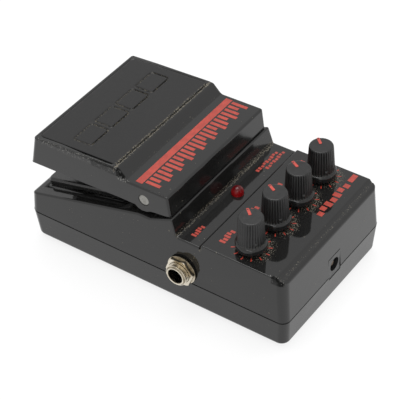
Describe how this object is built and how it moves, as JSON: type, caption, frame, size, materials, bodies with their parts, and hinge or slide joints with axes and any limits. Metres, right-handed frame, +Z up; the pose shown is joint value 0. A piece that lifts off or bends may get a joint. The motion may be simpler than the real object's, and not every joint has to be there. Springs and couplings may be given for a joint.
{
  "type": "guitar effects pedal",
  "caption": "Compact stomp box with a sprung rubber-topped treadle over a sloping deck, a row of fluted knobs, an indicator lamp and side phone jacks.",
  "frame": {"origin": "on the ground under the middle of the box that holds the whole pedal", "axes": "+Y away from the player, along the length, towards the knobs and the power inlet; +X towards the input jack; +Z up"},
  "size_m": [0.0778, 0.12, 0.0527],
  "materials": {
    "housing": "gloss black paint",
    "tread_rubber": "soft satin rubber",
    "base_rubber": "moulded rubber mat",
    "knob_plastic": "satin black",
    "pointer_red": "red inlay",
    "lamp_red": "dark red moulded dome",
    "nickel": "nickel plated",
    "pin_steel": "turned bright pin",
    "spring_steel": "spring wire",
    "screw_steel": "zinc plated",
    "jack_plastic": "black moulding",
    "switch_plastic": "black moulding",
    "board": "green solder mask",
    "parts_plastic": "moulded and sleeved parts",
    "pot_body": "moulded case",
    "shaft_metal": "turned shaft",
    "battery_case": "wrapped steel can",
    "lead_red": "insulated wire",
    "lead_black": "insulated wire"
  },
  "bodies": {
    "housing": {"base_tray": "housing", "base_pad": "base_rubber", "base_screws": "screw_steel", "chassis": "housing", "battery_cover": "housing", "battery": "battery_case", "battery_snap": "base_rubber", "battery_lead_red": "lead_red", "battery_lead_black": "lead_black", "return_spring": "spring_steel", "foot_switch": "switch_plastic", "hinge_spring_right": "spring_steel", "hinge_spring_left": "spring_steel", "main_board": "board", "board_screws": "screw_steel", "circuit_parts": "parts_plastic", "board_link": "jack_plastic", "pot_board": "board", "pot_1": "pot_body", "pot_2": "pot_body", "pot_3": "pot_body", "pot_4": "pot_body", "lamp": "lamp_red", "lamp_spacer": "jack_plastic", "power_inlet": "jack_plastic", "power_inlet_pin": "nickel", "input_jack": "jack_plastic", "output_left_jack": "jack_plastic", "output_right_jack": "jack_plastic", "input_jack_bushing": "nickel", "output_left_jack_bushing": "nickel", "output_right_jack_bushing": "nickel", "input_jack_washer": "nickel", "output_left_jack_washer": "nickel", "output_right_jack_washer": "nickel", "input_jack_nut": "nickel", "output_left_jack_nut": "nickel", "output_right_jack_nut": "nickel"},
    "treadle": {"treadle": "housing", "treadle_pad": "tread_rubber"},
    "switch_plunger": {"switch_plunger": "switch_plastic"},
    "hinge_pin_right": {"hinge_pin_right": "pin_steel", "hinge_clip_right": "spring_steel"},
    "hinge_pin_left": {"hinge_pin_left": "pin_steel", "hinge_clip_left": "spring_steel"},
    "knob_1": {"knob_1": "knob_plastic", "knob_pointer_1": "pointer_red", "pot_shaft_1": "shaft_metal"},
    "knob_2": {"knob_2": "knob_plastic", "knob_pointer_2": "pointer_red", "pot_shaft_2": "shaft_metal"},
    "knob_3": {"knob_3": "knob_plastic", "knob_pointer_3": "pointer_red", "pot_shaft_3": "shaft_metal"},
    "knob_4": {"knob_4": "knob_plastic", "knob_pointer_4": "pointer_red", "pot_shaft_4": "shaft_metal"}
  },
  "joints": [
    {"name": "treadle_hinge", "type": "hinge", "parent": "housing", "child": "treadle", "pos_m": [0, -0.00376, 0.0432], "axis": [1, 0, 0], "range_deg": [0, 8], "stiffness_Nm_per_rad": 1.5, "springref_deg": -14.32, "deforming": ["return_spring"]},
    {"name": "plunger_slide", "type": "slide", "parent": "housing", "child": "switch_plunger", "axis": [0, 0, -1], "range_m": [0, 0.0013]},
    {"name": "hinge_pin_right_slide", "type": "slide", "parent": "housing", "child": "hinge_pin_right", "axis": [-1, 0, 0], "range_m": [0, 0.0036], "stiffness_N_per_m": 200, "springref_m": -0.004, "deforming": ["hinge_spring_right"]},
    {"name": "hinge_pin_left_slide", "type": "slide", "parent": "housing", "child": "hinge_pin_left", "axis": [1, 0, 0], "range_m": [0, 0.0036], "stiffness_N_per_m": 200, "springref_m": -0.004, "deforming": ["hinge_spring_left"]},
    {"name": "knob_1_turn", "type": "hinge", "parent": "housing", "child": "knob_1", "pos_m": [0.024, 0.0388, 0.0498], "axis": [0, 0, -1], "range_deg": [0, 300]},
    {"name": "knob_2_turn", "type": "hinge", "parent": "housing", "child": "knob_2", "pos_m": [0.008, 0.0388, 0.0498], "axis": [0, 0, -1], "range_deg": [0, 300]},
    {"name": "knob_3_turn", "type": "hinge", "parent": "housing", "child": "knob_3", "pos_m": [-0.008, 0.0388, 0.0498], "axis": [0, 0, -1], "range_deg": [0, 300]},
    {"name": "knob_4_turn", "type": "hinge", "parent": "housing", "child": "knob_4", "pos_m": [-0.024, 0.0388, 0.0498], "axis": [0, 0, -1], "range_deg": [0, 300]}
  ],
  "couplings": [
    {"joint": "plunger_slide", "follows": "treadle_hinge", "m_per_rad": 0.00924}
  ]
}
